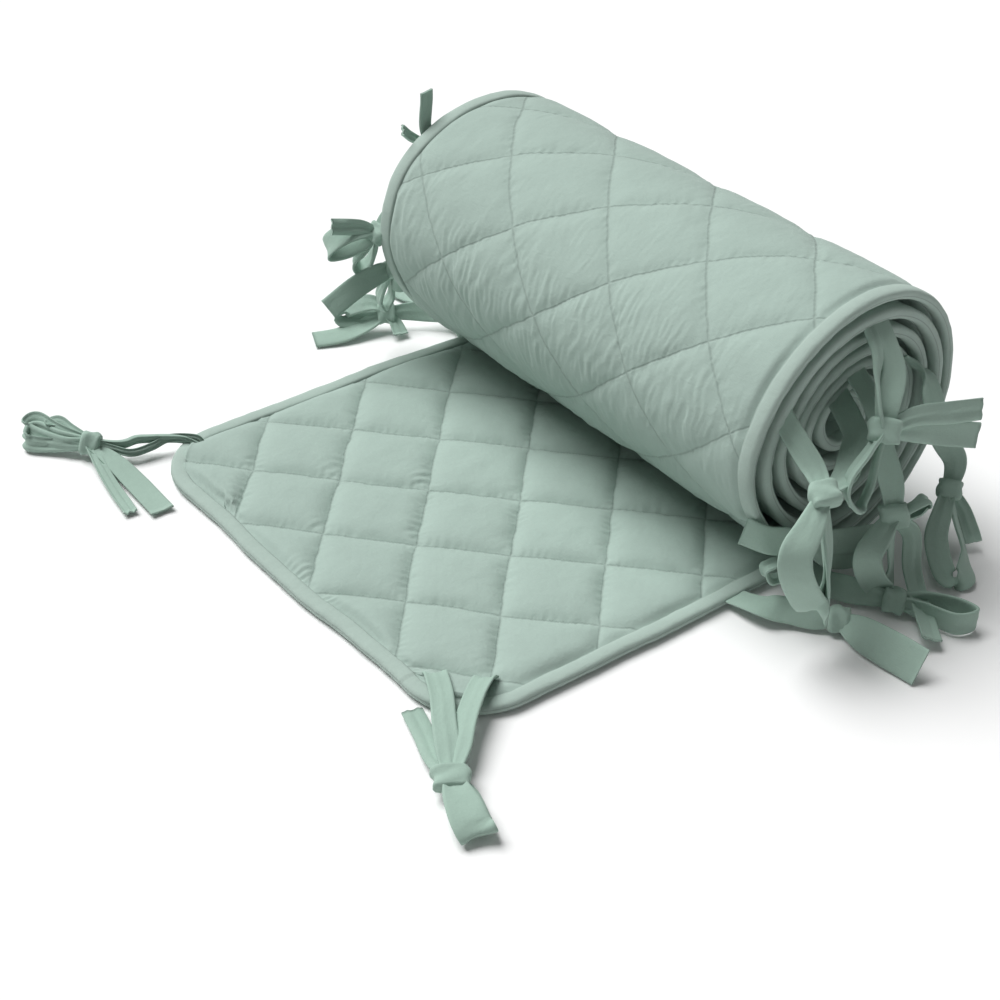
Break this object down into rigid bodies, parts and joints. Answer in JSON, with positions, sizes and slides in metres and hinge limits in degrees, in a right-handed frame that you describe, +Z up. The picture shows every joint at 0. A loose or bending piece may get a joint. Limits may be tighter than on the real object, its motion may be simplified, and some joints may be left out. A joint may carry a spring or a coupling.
{
  "type": "rolled crib bumper",
  "caption": "Long padded crib bumper, diamond quilted with a bound edge and cloth ties in bows, rolled up with one end lying open.",
  "frame": {"origin": "on the surface it lies on, straight under the roll's axis and at the middle of its width", "axes": "+X from the open end towards the roll, +Y along the roll's axis, +Z up"},
  "size_m": [0.3798, 0.4711, 0.1703],
  "materials": {
    "quilt_cloth": "matte",
    "binding_cloth": "matte",
    "tie_cloth": "matte"
  },
  "bodies": {
    "root": {"quilt_open_end": "quilt_cloth", "quilt_roll": "quilt_cloth", "binding": "binding_cloth", "tie_near_1": "tie_cloth", "tie_near_2": "tie_cloth", "tie_near_3": "tie_cloth", "tie_near_4": "tie_cloth", "tie_near_5": "tie_cloth", "tie_near_6": "tie_cloth", "tie_near_7": "tie_cloth", "tie_near_8": "tie_cloth", "tie_far_1": "tie_cloth", "tie_far_2": "tie_cloth", "tie_far_3": "tie_cloth", "tie_far_4": "tie_cloth", "tie_far_5": "tie_cloth", "tie_far_6": "tie_cloth", "tie_far_7": "tie_cloth", "tie_far_8": "tie_cloth"}
  },
  "joints": []
}
